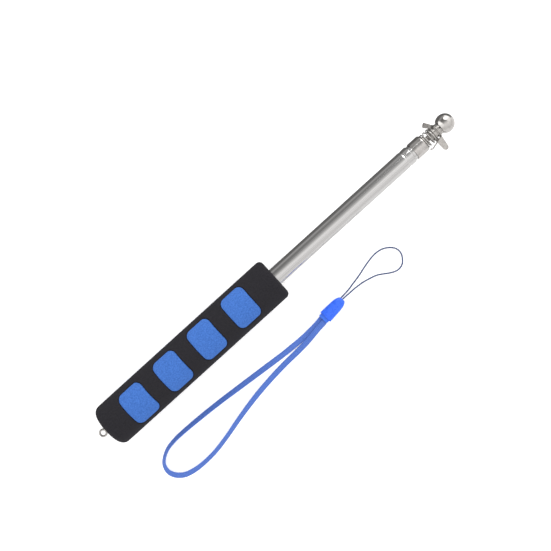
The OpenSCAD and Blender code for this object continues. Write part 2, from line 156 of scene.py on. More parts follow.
def add_floor():
    """A white floor that is not quite plain: it glows a little for the camera alone.

    In reflections, its side towards +Y is dim, so that the tube's left edge stays dark.
    """
    half, drop = 12, 0.2 * MM
    white, dimmed, glow = 0.95, 0.16, 0.3
    corners = [(-half, -half, -drop), (half, -half, -drop), (half, half, -drop), (-half, half, -drop)]
    floor = mesh_object("floor", corners, [(0, 1, 2, 3)])
    material = bpy.data.materials.new("pale_floor")
    material.use_nodes = True
    tree = material.node_tree
    shader = tree.nodes["Principled BSDF"]
    shader.inputs["Roughness"].default_value = 0.9
    shader.inputs["Specular IOR Level"].default_value = 0.1
    shader.inputs["Emission Color"].default_value = (1, 1, 1, 1)
    ray = tree.nodes.new("ShaderNodeLightPath")
    seen = ranged(tree, ray.outputs["Is Camera Ray"], to=(0, glow))
    tree.links.new(seen, shader.inputs["Emission Strength"])
    left = ranged(tree, coordinates(tree, "Object")["Y"], (-4 * MM, 12 * MM))
    mirrored = computed(tree, "Math", "MULTIPLY", left, ray.outputs["Is Glossy Ray"])
    tree.links.new(ranged(tree, mirrored, to=(white, dimmed)), shader.inputs["Base Color"])
    floor.data.materials.append(material)


# ---- Meshes ----


def mesh_object(name, vertices, faces):
    """A smooth-shaded object, with edges over 40 degrees left sharp."""
    mesh = bpy.data.meshes.new(name)
    mesh.from_pydata([tuple(v) for v in vertices], [], faces)
    mesh.validate()
    mesh.polygons.foreach_set("use_smooth", [True] * len(mesh.polygons))
    mesh.set_sharp_from_angle(angle=math.radians(40))
    mesh.update()
    obj = bpy.data.objects.new(name, mesh)
    bpy.context.scene.collection.objects.link(obj)
    return obj


def joined(shells):
    """One (vertices, faces) from several."""
    vertices, faces = [], []
    for more, sides in shells:
        start = len(vertices)
        vertices += more
        faces += [tuple(start + i for i in f) for f in sides]
    return vertices, faces


def lofted(rings, closed=False, caps=True):
    """Faces between rings of as many points each; caps close the two ends."""
    n = len(rings[0])
    vertices = [tuple(p) for ring in rings for p in ring]
    last = len(rings) if closed else len(rings) - 1
    faces = []
    for i in range(last):
        a, b = i * n, (i + 1) % len(rings) * n
        for j in range(n):
            k = (j + 1) % n
            faces.append((a + j, a + k, b + k, b + j))
    if caps and not closed:
        faces.append(tuple(reversed(range(n))))
        faces.append(tuple(range((len(rings) - 1) * n, len(rings) * n)))
    return vertices, faces


def soft_outline(corners, closed=True, steps=5):
    """The outline through (x, r, rounding) corners, with an arc and two support points at each."""
    count = len(corners)
    points = []
    for i, (x, r, rounding) in enumerate(corners):
        here = Vector((x, r))
        if rounding == 0 or (not closed and i in (0, count - 1)):
            points.append(here)
            continue
        before, after = Vector(corners[i - 1][:2]), Vector(corners[(i + 1) % count][:2])
        u, v = (before - here).normalized(), (after - here).normalized()
        half = math.acos(max(-1, min(1, u.dot(v)))) / 2
        reach = rounding / math.tan(half)
        centre = here + (u + v).normalized() * (rounding / math.sin(half))
        start, end = here + u * reach, here + v * reach
        points.append(start + u * rounding * 0.15)
        for step in range(steps + 1):
            t = step / steps
            way = (start - centre).slerp(end - centre, t)
            points.append(centre + way.normalized() * rounding)
        points.append(end + v * rounding * 0.15)
    return points


def turned(outline, segments=96, closed=True):
    """The outline of (x, r) points turned about the pole's axis."""
    rings = []
    for j in range(segments):
        a = 2 * math.pi * j / segments
        rings.append([(p[0], p[1] * math.sin(a), AXIS_Z + p[1] * math.cos(a)) for p in outline])
    n = len(outline)
    vertices = [p for ring in rings for p in ring]
    faces = []
    for j in range(segments):
        a, b = j * n, (j + 1) % segments * n
        for i in range(n if closed else n - 1):
            k = (i + 1) % n
            faces.append((a + i, b + i, b + k, a + k))
    return vertices, faces


def smooth_line(route, steps):
    """Points on the curve that passes smoothly through the route, steps to each stretch."""
    route = [Vector(p) for p in route]
    last = len(route) - 1
    line = []
    for i in range(last):
        p0, p1, p2, p3 = route[max(i - 1, 0)], route[i], route[i + 1], route[min(i + 2, last)]
        for j in range(steps):
            t = j / steps
            line.append(
                0.5 * (2 * p1 + (p2 - p0) * t + (2 * p0 - 5 * p1 + 4 * p2 - p3) * t * t
                       + (3 * p1 - p0 - 3 * p2 + p3) * t ** 3)
            )
    line.append(route[last])
    return line


def lengths_along(line):
    """The length from the line's start to each of its points."""
    lengths = [0.0]
    for a, b in zip(line, line[1:]):
        lengths.append(lengths[-1] + (b - a).length)
    return lengths


def even_places(line, spacing):
    """Places at one spacing, as near to spacing as fits: a point's index, and how far past it."""
    lengths = lengths_along(line)
    count = max(2, round(lengths[-1] / spacing))
    places, i = [], 0
    for step in range(count + 1):
        s = lengths[-1] * step / count
        while i < len(line) - 2 and lengths[i + 1] < s:
            i += 1
        places.append((i, (s - lengths[i]) / (lengths[i + 1] - lengths[i])))
    return places


def even_line(line, spacing):
    return [line[i].lerp(line[i + 1], t) for i, t in even_places(line, spacing)]


def swept(line, section_at):
    """A closed tube: section_at(i) gives the (across, up) points and the twist of ring i."""
    rings = []
    for i, centre in enumerate(line):
        along = (line[min(i + 1, len(line) - 1)] - line[max(i - 1, 0)]).normalized()
        side = Vector((0, 0, 1)).cross(along).normalized()
        up = along.cross(side)
        points, twist = section_at(i)
        across = math.cos(twist) * side + math.sin(twist) * up
        over = math.cos(twist) * up - math.sin(twist) * side
        rings.append([centre + x * across + y * over for x, y in points])
    return lofted(rings)


def rounded_box(width, height, rounding, steps=4):
    """Points round a rounded rectangle about the origin."""
    points = []
    for quarter, (sx, sy) in enumerate([(1, 1), (-1, 1), (-1, -1), (1, -1)]):
        cx, cy = sx * (width / 2 - rounding), sy * (height / 2 - rounding)
        for step in range(steps + 1):
            a = math.pi / 2 * (quarter + step / steps)
            points.append((cx + rounding * math.cos(a), cy + rounding * math.sin(a)))
    return points


def placed(shell, matrix):
    vertices, faces = shell
    return [tuple(matrix @ Vector(v)) for v in vertices], faces


# ---- Materials ----


def finish_material(name, colours, roughness, grain, bumps, metallic=0.0, **sockets):
    """A material whose colour and roughness wander between two values, with bumps from nodes.

    grain is the scale of the wandering per metre along X and across it.
    bumps are (texture, (scale along X, scale across), height) with texture noise or cells.
    """
    calm = (0.3, 0.7)            # the part of the noise's span that the wandering uses
    material = bpy.data.materials.new(name)
    material.use_nodes = True
    tree = material.node_tree
    nodes, links = tree.nodes, tree.links
    shader = nodes["Principled BSDF"]
    shader.inputs["Metallic"].default_value = metallic
    for socket, value in sockets.items():
        shader.inputs[socket.replace("_", " ")].default_value = value
    place = nodes.new("ShaderNodeTexCoord")

    def texture(kind, scale):
        stretch = nodes.new("ShaderNodeMapping")
        stretch.inputs["Scale"].default_value = (scale[0], scale[1], scale[1])
        links.new(place.outputs["Object"], stretch.inputs["Vector"])
        made = nodes.new("ShaderNodeTexNoise" if kind == "noise" else "ShaderNodeTexVoronoi")
        made.inputs["Scale"].default_value = 1.0
        links.new(stretch.outputs["Vector"], made.inputs["Vector"])
        if kind == "noise":
            made.inputs["Detail"].default_value = 3.0
            return made.outputs["Fac"]
        return made.outputs["Distance"]

    wander = texture("noise", grain)
    ramp = nodes.new("ShaderNodeValToRGB")
    for element, position, colour in zip(ramp.color_ramp.elements, calm, colours):
        element.position = position
        element.color = (*colour, 1)
    links.new(wander, ramp.inputs["Fac"])
    links.new(ramp.outputs["Color"], shader.inputs["Base Color"])
    links.new(ranged(tree, wander, calm, roughness), shader.inputs["Roughness"])
    normal = None
    for kind, scale, height in bumps:
        bump = nodes.new("ShaderNodeBump")
        bump.inputs["Strength"].default_value = 1.0
        bump.inputs["Distance"].default_value = height
        links.new(texture(kind, scale), bump.inputs["Height"])
        if normal is not None:
            links.new(normal, bump.inputs["Normal"])
        normal = bump.outputs["Normal"]
    links.new(normal, shader.inputs["Normal"])
    return material


def paint_groove_shade(material, attribute, depth):
    """Multiplies the colour by depth where the attribute is 0, painted shade in the grooves, and by
    1.1 at 1, a painted highlight on the crests.
    """
    # over 1: a painted highlight on the tops of the yarns
    painted_crest_highlight = 1.1
    tree = material.node_tree
    colour = tree.nodes["Principled BSDF"].inputs["Base Color"]
    height = tree.nodes.new("ShaderNodeAttribute")
    height.attribute_name = attribute
    scaled = tree.nodes.new("ShaderNodeVectorMath")
    scaled.operation = "SCALE"
    tree.links.new(colour.links[0].from_socket, scaled.inputs[0])
    tree.links.new(ranged(tree, height.outputs["Fac"], to=(depth, painted_crest_highlight)), scaled.inputs["Scale"])
    tree.links.new(scaled.outputs["Vector"], colour)


FOAM_BLACK = finish_material(
    "black_foam", [(0.012, 0.0115, 0.0145), (0.022, 0.021, 0.025)], (0.75, 0.95), (900, 900),
    [("cells", (1500, 1500), 0.08 * MM), ("noise", (260, 260), 0.10 * MM)],
    Specular_IOR_Level=0.15,
)
FOAM_BLUE = finish_material(
    "blue_foam", [(0.032, 0.110, 0.375), (0.058, 0.172, 0.54)], (0.7, 0.9), (900, 900),
    [("cells", (1500, 1500), 0.14 * MM), ("noise", (300, 300), 0.12 * MM)],
    Specular_IOR_Level=0.2,
)
STAINLESS = finish_material(
    "drawn_stainless", [(0.45, 0.445, 0.44), (0.52, 0.515, 0.51)], (0.10, 0.20), (12, 1500),
    [("noise", (25, 2600), 0.003 * MM), ("noise", (90, 90), 0.01 * MM)], metallic=1.0,
)
PLATED = finish_material(
    "nickel_plate", [(0.34, 0.325, 0.31), (0.43, 0.415, 0.395)], (0.18, 0.34), (500, 500),
    [("noise", (900, 900), 0.008 * MM), ("noise", (180, 180), 0.03 * MM)], metallic=1.0,
)
BRIGHT_PLATE = finish_material(
    "bright_plate", [(0.40, 0.385, 0.37), (0.48, 0.465, 0.45)], (0.06, 0.16), (300, 300),
    [("noise", (1400, 1400), 0.002 * MM), ("noise", (150, 150), 0.015 * MM)], metallic=1.0,
)
SPRING_WIRE = finish_material(
    "spring_wire", [(0.36, 0.35, 0.335), (0.50, 0.485, 0.465)], (0.16, 0.30), (700, 700),
    [("noise", (1800, 1800), 0.004 * MM)], metallic=1.0,
)
CAST_ALLOY = finish_material(
    "turned_alloy", [(0.52, 0.52, 0.53), (0.64, 0.64, 0.65)], (0.28, 0.45), (2400, 200),
    [("noise", (3000, 100), 0.006 * MM)], metallic=1.0,
)
BRASS = finish_material(
    "bush_brass", [(0.50, 0.34, 0.12), (0.66, 0.47, 0.20)], (0.25, 0.42), (600, 600),
    [("noise", (2500, 300), 0.006 * MM)], metallic=1.0,
)
WHITE_PLASTIC = finish_material(
    "white_plastic", [(0.66, 0.66, 0.63), (0.74, 0.74, 0.71)], (0.35, 0.5), (600, 600),
    [("noise", (1500, 1500), 0.01 * MM)],
)
BLACK_PLASTIC = finish_material(
    "black_plastic", [(0.012, 0.012, 0.014), (0.020, 0.020, 0.023)], (0.45, 0.65), (500, 500),
    [("noise", (1400, 1400), 0.015 * MM), ("noise", (200, 200), 0.03 * MM)],
)
RUBBER = finish_material(
    "pad_rubber", [(0.02, 0.02, 0.02), (0.04, 0.04, 0.04)], (0.6, 0.8), (800, 800),
    [("noise", (1300, 1300), 0.03 * MM)],
)
BLUE_PLASTIC = finish_material(
    "blue_plastic", [(0.028, 0.118, 0.72), (0.036, 0.140, 0.80)], (0.24, 0.36), (350, 350),
    [("noise", (1600, 1600), 0.008 * MM), ("noise", (260, 260), 0.03 * MM)],
    Specular_IOR_Level=0.3,
)
COLLAR_PLASTIC = finish_material(
    "collar_plastic", [(0.036, 0.140, 0.66), (0.048, 0.170, 0.74)], (0.35, 0.5), (500, 500),
    [("noise", (1600, 1600), 0.02 * MM), ("noise", (300, 300), 0.03 * MM)],
    Specular_IOR_Level=0.3,
)
WEBBING = finish_material(
    "blue_webbing", [(0.048, 0.120, 0.43), (0.088, 0.187, 0.62)], (0.6, 0.85), (1600, 1600),
    [("noise", (3200, 3200), 0.05 * MM)], Sheen_Weight=0.08, Sheen_Roughness=0.4,
)
# painted shade between the yarns and a painted highlight on their tops, in the webbing's colour
paint_groove_shade(WEBBING, "weave", 0.62)
THIN_CORD = finish_material(
    "blue_cord", [(0.022, 0.040, 0.115), (0.040, 0.070, 0.18)], (0.5, 0.75), (2200, 2200),
    [("noise", (4200, 4200), 0.03 * MM)], Sheen_Weight=0.08, Sheen_Roughness=0.4,
)


def dress(piece, material, body, slot, *nodes):
    """Gives the piece its material and body, and hides the CAD nodes that it stands for. The slot is
    not used.
    """
    piece.data.materials.append(material)
    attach(piece, body)
    if nodes:
        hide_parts(*nodes)
    return piece


# ---- Wrist strap ----

FERRULE_BACK = 7.2 * MM
FERRULE_Y = -51.6 * MM       # middle of its mouth
FERRULE_Z = 3.5 * MM
FERRULE_TURN = math.radians(3.5)
BAND_WIDTH = 4.8 * MM
BAND_THICK = 1.1 * MM
CORD_DIAMETER = 1.2 * MM

# Given in millimetres, to follow edges measured on the photographed strap:
# x, y, clearance under the band, and twist in degrees
BAND_ROUTE = [
    (9, -50.1, 2.35, 0), (5, -50.6, 2.2, 0), (2, -50.9, 1.9, 0), (-3, -51.6, 1.3, 0),
    (-8, -51.9, 0.8, 0), (-14, -52.2, 0.2, 0), (-20, -52.2, 0, 0), (-30, -51.8, 0, 0),
    (-40, -51.2, 0, 0), (-60, -49.3, 0, 12), (-80, -47.4, 0, 22), (-100, -45.5, 0, 32),
    (-120, -44.1, 0, 38), (-140, -43.3, 0, 46), (-151, -43.5, 0, 50), (-160, -45, 0, 56),
    (-167, -48.6, 0, 58), (-170.8, -52.6, 0, 50), (-172.3, -57.2, 0, 36), (-171.8, -61.8, 0, 20),
    (-168.6, -66.8, 0, 12), (-162.6, -70.8, 0, 18), (-152, -73.1, 0, 34), (-140, -73.3, 0, 40),
    (-130, -72.4, 0, 42), (-116, -69.7, 0, 42), (-100, -65.9, 0, 36), (-84, -62.7, 0, 26),
    (-70, -60.5, 0, 18), (-54, -58.8, 0, 8), (-40, -57.9, 0.1, 0), (-30, -57.6, 0.5, 0),
    (-20, -57, 1.1, 0), (-14, -56.3, 1.5, 0), (-8, -55.4, 2.05, 0), (-3, -54.6, 2.6, 0),
    (2, -54.2, 3.15, 0), (5, -53.7, 3.4, 0), (9, -52.9, 3.55, 0),
]
# x, y and z of the cord's middle
LOOP_ROUTE = [
    (20, -49.07, 3.5), (27.5, -48.61, 3.5), (36, -47.9, 2.2), (42, -46.8, 1), (50, -45.3, 0.6),
    (60, -42.7, 0.6), (68, -41.1, 0.6), (73, -40.8, 0.6), (78, -41.5, 0.6), (82.5, -43.5, 0.6),
    (86.2, -46.7, 0.6), (88.3, -50.6, 0.6), (88.3, -54.7, 0.6), (86.4, -58.6, 0.6),
    (83.3, -61.8, 0.6), (79, -63.2, 0.6), (74.5, -62.4, 0.6), (70, -60.1, 0.6), (65.4, -57, 0.6),
    (60, -54.2, 0.6), (50, -51.6, 0.6), (42, -50.7, 1), (36, -50.5, 2.2), (27.5, -50.31, 3.5),
    (20, -50.77, 3.5),
]


def length_of(line):
    return sum((b - a).length for a, b in zip(line, line[1:]))


def add_band():
    """Flat woven band: yarns cross it nearly square, over a soft edge."""
    yarn = 1.05 * MM
    relief = 0.12 * MM
    slope = 0.4              # yarns that an edge lags behind the middle
    steps = 12               # points to each stretch of the route
    flats, bends = 8, 6      # faces along a flat side, and round an edge
    edge = BAND_THICK / 2
    half = BAND_WIDTH / 2 - edge
    route = []
    for x, y, clear, twist in BAND_ROUTE:
        t = math.radians(twist)
        lift = clear * MM + BAND_WIDTH / 2 * math.sin(t) + edge * math.cos(t)
        route.append((x * MM, y * MM, lift, t))
    fine = smooth_line([p[:3] for p in route], steps)
    twists = [p.x for p in smooth_line([(p[3], 0, 0) for p in route], steps)]
    places = even_places(fine, 0.2 * MM)
    line = [fine[i].lerp(fine[i + 1], t) for i, t in places]
    turns = [twists[i] + (twists[i + 1] - twists[i]) * t for i, t in places]
    for point, turn in zip(line, turns):
        point.z = max(point.z, half * abs(math.sin(turn)) + edge)
    spacing = lengths_along(fine)[-1] / (len(line) - 1)
    section = []
    for side in (1, -1):
        section += [(side * half * (1 - 2 * i / flats), side * edge) for i in range(flats)]
        section += [
            (-side * (half + edge * math.sin(a)), side * edge * math.cos(a))
            for a in [math.pi * i / bends for i in range(bends)]
        ]

    def weave_at(i, x):
        """0 in the groove between two yarns, and 1 on top of a yarn."""
        return abs(math.sin(math.pi * (spacing * i / yarn - abs(x) / (BAND_WIDTH / 2) * slope)))

    def ring(i):
        points = []
        for x, y in section:
            grow = relief * (weave_at(i, x) ** 0.7 - 1)
            points.append((x * (1 + grow / BAND_WIDTH), y * (1 + grow / edge)))
        return points, turns[i]

    band = mesh_object("strap_webbing", *swept(line, ring))
    # the weave, kept for the webbing's painted shade between yarns and painted highlight on them
    weave = band.data.attributes.new("weave", "FLOAT", "POINT")
    weave.data.foreach_set("value", [weave_at(i, x) for i in range(len(line)) for x, y in section])
    dress(band, WEBBING, "wrist_strap", "blue_webbing", "strap_band")
    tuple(line[0])
    round(length_of(line), 3)


def add_loop():
    """Thin braided cord: two sets of strands wind round it in opposite ways."""
    strands, around = 4, 16
    lay = 3.2 * MM
    braid = 0.06             # share of the radius that the strands' relief takes
    route = [Vector(p) * MM for p in LOOP_ROUTE]
    line = even_line(smooth_line(route, 10), 0.16 * MM)
    step = length_of(line[:2])

    def ring(i):
        points = []
        for j in range(around):
            a = 2 * math.pi * j / around
            turn = 2 * math.pi * step * i / lay
            weave = math.cos(strands * (a + turn)) * math.cos(strands * (a - turn))
            r = CORD_DIAMETER / 2 * (1 - braid + braid * weave)
            points.append((r * math.cos(a), r * math.sin(a)))
        return points, 0.0

    loop = mesh_object("strap_thin_cord", *swept(line, ring))
    dress(loop, THIN_CORD, "wrist_strap", "blue_cord", "strap_loop")
    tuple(line[0])
    round(length_of(line), 3)


def at_ferrule(shell):
    """Moves a shape made along X from the ferrule's mouth into its place."""
    return placed(shell, Matrix.Translation((FERRULE_BACK, FERRULE_Y, FERRULE_Z))
                  @ Matrix.Rotation(FERRULE_TURN, 4, "Z"))


def add_ferrule():
    """Moulded ferrule: a flat oval that narrows to a domed nose, hollow at its mouth."""
    wide, tall, long = 11.2 * MM, 7.0 * MM, 20.3 * MM
    power, power_up = 0.62, 0.72    # below 1, the oval is squarer
    around = 56
    stations = [  # share of the length, of the width and of the height
        (0.30, 0.80, 0.66), (0.04, 0.81, 0.66), (0.0, 0.84, 0.70), (0.0, 0.95, 0.90),
        (0.006, 0.98, 0.955), (0.02, 0.995, 0.985), (0.045, 1.0, 1.0), (0.2, 0.985, 1.0),
        (0.4, 0.95, 0.98), (0.6, 0.91, 0.96), (0.72, 0.875, 0.94), (0.82, 0.80, 0.88),
        (0.9, 0.70, 0.79), (0.955, 0.58, 0.67), (0.985, 0.46, 0.54), (1.0, 0.36, 0.42),
    ]
    rings = []
    for s, w, h in stations:
        ring = []
        for j in range(around):
            a = 2 * math.pi * j / around
            c, d = math.cos(a), math.sin(a)
            y = math.copysign(abs(c) ** power, c) * wide / 2 * w
            z = math.copysign(abs(d) ** power_up, d) * tall / 2 * h
            ring.append((s * long, y, z))
        rings.append(ring)
    ferrule = mesh_object("strap_slider", *at_ferrule(lofted(rings)))
    dress(ferrule, BLUE_PLASTIC, "wrist_strap", "blue_plastic", "strap_ferrule")


def add_strap_plug():
    """The stepped collar that grips both ends of the band in the ferrule's mouth."""
    back, front, wide, tall = -2.8 * MM, 7.8 * MM, 8.9 * MM, 4.4 * MM
    rounding = 1.6 * MM
    rim = [(0, 0.5), (0.15, 0.2), (0.4, 0.05), (0.8, 0)]    # from the back, and shrink, in mm
    rings = []
    for x, shrink in [*rim, ((front - back) / MM, 0)]:
        outline = rounded_box(wide - 2 * shrink * MM, tall - 2 * shrink * MM, rounding)
        rings.append([(back + x * MM, y, z) for y, z in outline])
    plug = mesh_object("strap_collar", *at_ferrule(lofted(rings)))
    dress(plug, COLLAR_PLASTIC, "wrist_strap", "blue_plastic", "strap_plug")


# ---- Grip ----

GRIP_R = (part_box("grip_foam")[1].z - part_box("grip_foam")[0].z) / 2
BORE_R = 7.4 * MM
POCKET = 3.0 * MM            # depth of the visible plugs
POCKET_GAP = 0.05 * MM       # left under them
INLAY_TURN = math.radians(2.8)
INLAY_TRUE = 3.4             # the row faces straight up here, counted in inlays
INLAY_HALF_LONG = (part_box("inlay_4")[1].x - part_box("inlay_4")[0].x) / 2
INLAY_HALF_WIDE = 14.7 * MM
INLAY_GAP = 0.1 * MM         # clearance round an inlay
INLAY_SINK = 0.1 * MM        # how far it lies under the foam's surface
INLAY_CORNER = 5 * MM
EDGE = 1.1 * MM              # rounding of the foam's cut edges
EDGE_STEPS = [EDGE * share for share in (0, 0.12, 0.3, 0.55, 0.8, 1.0)]
ACROSS, ALONG = 44, 24       # faces along the two sides of a window


def on_grip(x, arc, r):
    """A point at x, at this arc length round the grip from its top towards +Y, at radius r."""
    a = arc / GRIP_R
    return (x, r * math.sin(a), AXIS_Z + r * math.cos(a))


def window_outline(half_x, half_y):
    """The window's outline on the unrolled grip, from corner to corner, side by side."""
    corners = [(-1, -1), (-1, 1), (1, 1), (1, -1)]
    turns = [math.pi / 4 * k / 8 for k in range(9)]

    def arc(corner, angles):
        """Points round a corner, at these angles from its middle."""
        sx, sy = corner
        cx, cy = sx * (half_x - INLAY_CORNER), sy * (half_y - INLAY_CORNER)
        middle = math.atan2(sy, sx)
        return [
            (cx + INLAY_CORNER * math.cos(middle + t), cy + INLAY_CORNER * math.sin(middle + t))
            for t in angles
        ]

    outline = []
    for i, corner in enumerate(corners):
        side = arc(corner, [-t for t in turns]) + arc(corners[(i + 1) % 4], reversed(turns))
        stretch = [Vector((x, GRIP_R * math.asin(y / GRIP_R))) for x, y in side]
        dense = [a.lerp(b, k / 6) for a, b in zip(stretch, stretch[1:]) for k in range(6)]
        dense.append(stretch[-1])
        count = ACROSS if i % 2 == 0 else ALONG
        outline += even_line(dense, length_of(dense) / count)[:-1]
    return outline


def moved_out(outline, distance):
    """The outline moved outwards along its own normals."""
    n = len(outline)
    moved = []
    for i, p in enumerate(outline):
        along = (outline[(i + 1) % n] - outline[i - 1]).normalized()
        moved.append(p + Vector((-along.y, along.x)) * distance)
    return moved


def filled(ring):
    """Faces and inner points that fill a ring of 2 * (ACROSS + ALONG) points as a grid."""
    a_side = ring[:ACROSS + 1]
    b_side = ring[ACROSS:ACROSS + ALONG + 1]
    c_side = list(reversed(ring[ACROSS + ALONG:2 * ACROSS + ALONG + 1]))
    d_side = list(reversed(ring[2 * ACROSS + ALONG:] + ring[:1]))
    grid = []
    for i in range(ALONG + 1):
        u = i / ALONG
        row = []
        for j in range(ACROSS + 1):
            v = j / ACROSS
            edges = (1 - u) * a_side[j] + u * c_side[j] + (1 - v) * d_side[i] + v * b_side[i]
            corners = ((1 - u) * (1 - v) * a_side[0] + (1 - u) * v * a_side[-1]
                       + u * (1 - v) * c_side[0] + u * v * c_side[-1])
            row.append(edges - corners)
        grid.append(row)
    return grid


def grid_faces(grid, place, flip=False):
    vertices = [place(p) for row in grid for p in row]
    n = len(grid[0])
    faces = []
    for i in range(len(grid) - 1):
        for j in range(n - 1):
            a = i * n + j
            face = (a, a + 1, a + n + 1, a + n)
            faces.append(tuple(reversed(face)) if flip else face)
    return vertices, faces


def rounding_drop(distance):
    """How far the foam's surface drops this near to a cut edge."""
    if distance >= EDGE:
        return 0.0
    return EDGE - math.sqrt(EDGE ** 2 - (EDGE - distance) ** 2)


def welded(name, shells):
    """One object from shells that share their borders."""
    obj = mesh_object(name, *joined(shells))
    work = bmesh.new()
    work.from_mesh(obj.data)
    bmesh.ops.remove_doubles(work, verts=work.verts, dist=0.5e-6)
    bmesh.ops.recalc_face_normals(work, faces=work.faces)
    work.to_mesh(obj.data)
    work.free()
    obj.data.polygons.foreach_set("use_smooth", [True] * len(obj.data.polygons))
    obj.data.update()
    return obj


def inlay_places():
    """Window centre along X, and its turn about the pole, for each of the four."""
    for i in range(1, 5):
        low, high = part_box(f"inlay_{i}")
        yield i, (low.x + high.x) / 2, (i - INLAY_TRUE) * INLAY_TURN * GRIP_R


def patch_border(half_x, half_y):
    """A rectangle about the origin, with as many points to each side as the window's outline."""
    corners = [(-half_x, -half_y), (-half_x, half_y), (half_x, half_y), (half_x, -half_y)]
    border = []
    for i, corner in enumerate(corners):
        count = ACROSS if i % 2 == 0 else ALONG
        start, end = Vector(corner), Vector(corners[(i + 1) % 4])
        border += [start.lerp(end, k / count) for k in range(count)]
    return border


def grip_patch(x, base, turn, hole, border):
    """The foam's surface from border to one window, with the window's pocket."""

    def at(p, r):
        return on_grip(x + p.x, base + p.y, r)

    aside = Vector((0, turn))
    window = [p + aside for p in hole]
    rings = [[at(p, GRIP_R - POCKET) for p in window]]
    for d in (*EDGE_STEPS, 1.15 * EDGE):
        start = [p + aside for p in moved_out(hole, d)]
        rings.append([at(p, GRIP_R - rounding_drop(d)) for p in start])
    for t in (0.3, 0.65, 1.0):
        rings.append([at(a.lerp(b, t), GRIP_R) for a, b in zip(start, border)])
    floor = grid_faces(filled(window), lambda p: at(p, GRIP_R - POCKET))
    return [lofted(rings, caps=False), floor]


def add_grip():
    """Foam sleeve with four windows at the front and the same four at the back."""
    low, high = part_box("grip_foam")
    butt_round, front_round, bore_edge = 6 * MM, 4 * MM, 0.4 * MM
    places = list(inlay_places())
    pitch = places[1][1] - places[0][1]
    half_turn = math.pi * GRIP_R
    hole = window_outline(INLAY_HALF_LONG + INLAY_GAP, INLAY_HALF_WIDE + INLAY_GAP)
    border = patch_border(pitch / 2, half_turn / 2)
    shells = []
    for _, x, turn in places:
        for base in (0, half_turn):
            shells += grip_patch(x, base, turn, hole, border)
    first, last = places[0][1] - pitch / 2, places[-1][1] + pitch / 2
    ends = soft_outline([
        (first, GRIP_R, 0), (low.x, GRIP_R, butt_round), (low.x, BORE_R, bore_edge),
        (high.x, BORE_R, bore_edge), (high.x, GRIP_R, front_round), (last, GRIP_R, 0),
    ], closed=False, steps=10)
    shells.append(turned(ends, segments=2 * ACROSS, closed=False))
    grip = welded("foam_sleeve", shells)
    dress(grip, FOAM_BLACK, "pole", "foam_black", "grip_foam")


def pad_shells(x, base, rise, outline):
    """One visible end of an inlay, crowned by rise in its middle."""

    def place(p, r):
        return on_grip(x + p.x, base + p.y, r)

    def height(p):
        bulge = (1 - (p.x / INLAY_HALF_LONG) ** 2) * (1 - (p.y / (INLAY_HALF_WIDE * 1.2)) ** 2)
        return GRIP_R - INLAY_SINK + rise * max(0.0, bulge) ** 0.5

    floor_r = GRIP_R - POCKET + POCKET_GAP
    rings = [[place(p, floor_r) for p in outline]]
    for d in EDGE_STEPS:
        rings.append([place(p, height(p) - rounding_drop(d)) for p in moved_out(outline, -d)])
    top = grid_faces(filled(moved_out(outline, -EDGE)), lambda p: place(p, height(p)))
    bottom = grid_faces(filled(outline), lambda p: place(p, floor_r))
    return [lofted(rings, caps=False), top, bottom]


def add_inlays():
    """Each plug shows as a pad at the front, slightly crowned, and a flat one at the back."""
    outline = window_outline(INLAY_HALF_LONG, INLAY_HALF_WIDE)
    crown = 0.35 * MM
    for i, x, turn in inlay_places():
        front = pad_shells(x, turn, crown, outline)
        back = pad_shells(x, math.pi * GRIP_R + turn, 0, outline)
        pad = welded(f"inlay_pad_{i}", front + back)
        dress(pad, FOAM_BLUE, "pole", "foam_blue", f"inlay_{i}")


# ---- Turned parts ----

WALL = 0.4 * MM
LIP = 0.7 * MM
GROOVE_BACK = 6.1 * MM
GROOVE_WIDTH = 2.2 * MM
GROOVE_DEPTH = 0.3 * MM
SUPPORT = 0.25 * MM          # a ring of points this far from a groove keeps the shading straight
ROD_R = 2.5 * MM             # the rod that carries the cap, clip, washers and ball
TUBE_BODIES = {1: "pole", 2: "section_2", 3: "section_3", 4: "section_4", 5: "section_5"}


def tube_outline(k):
    """The last section is plain, and the others have a rolled groove and a turned-in lip."""
    low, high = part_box(f"tube_{k}")
    r = (high.z - low.z) / 2
    back, mouth = low.x, high.x
    if k == len(TUBE_BODIES):
        return [(back, r), (mouth, r), (mouth, r - WALL), (back, r - WALL)]
    middle = mouth - GROOVE_BACK
    bend = (GROOVE_WIDTH ** 2 / 4 + GROOVE_DEPTH ** 2) / (2 * GROOVE_DEPTH)
    centre_r = r - GROOVE_DEPTH + bend

    def groove(face_r, arc_r):
        """The groove in one face of the wall, with a support point before and after it."""
        half = math.acos((centre_r - face_r) / arc_r)
        reach = arc_r * math.sin(half) + SUPPORT
        angles = [half * (j / 10 - 1) for j in range(21)]
        arc = [(middle + arc_r * math.sin(a), centre_r - arc_r * math.cos(a)) for a in angles]
        return [(middle - reach, face_r), *arc, (middle + reach, face_r)]

    def lip(bend_r, angles):
        return [
            (mouth - LIP + bend_r * math.sin(a), r - LIP + bend_r * math.cos(a)) for a in angles
        ]

    outer = groove(r, bend) + lip(LIP, [math.pi / 2 * j / 8 for j in range(9)])
    inner = lip(LIP - WALL, [math.pi / 2 * (1 - j / 4) for j in range(5)])
    inner += reversed(groove(r - WALL, bend + WALL))
    return [(back, r), *outer, *inner, (back, r - WALL)]


def add_tubes():
    for k, body in TUBE_BODIES.items():
        tube = mesh_object(f"steel_tube_{k}", *turned(tube_outline(k), segments=128))
        dress(tube, STAINLESS, body, "stainless_tube", f"tube_{k}")


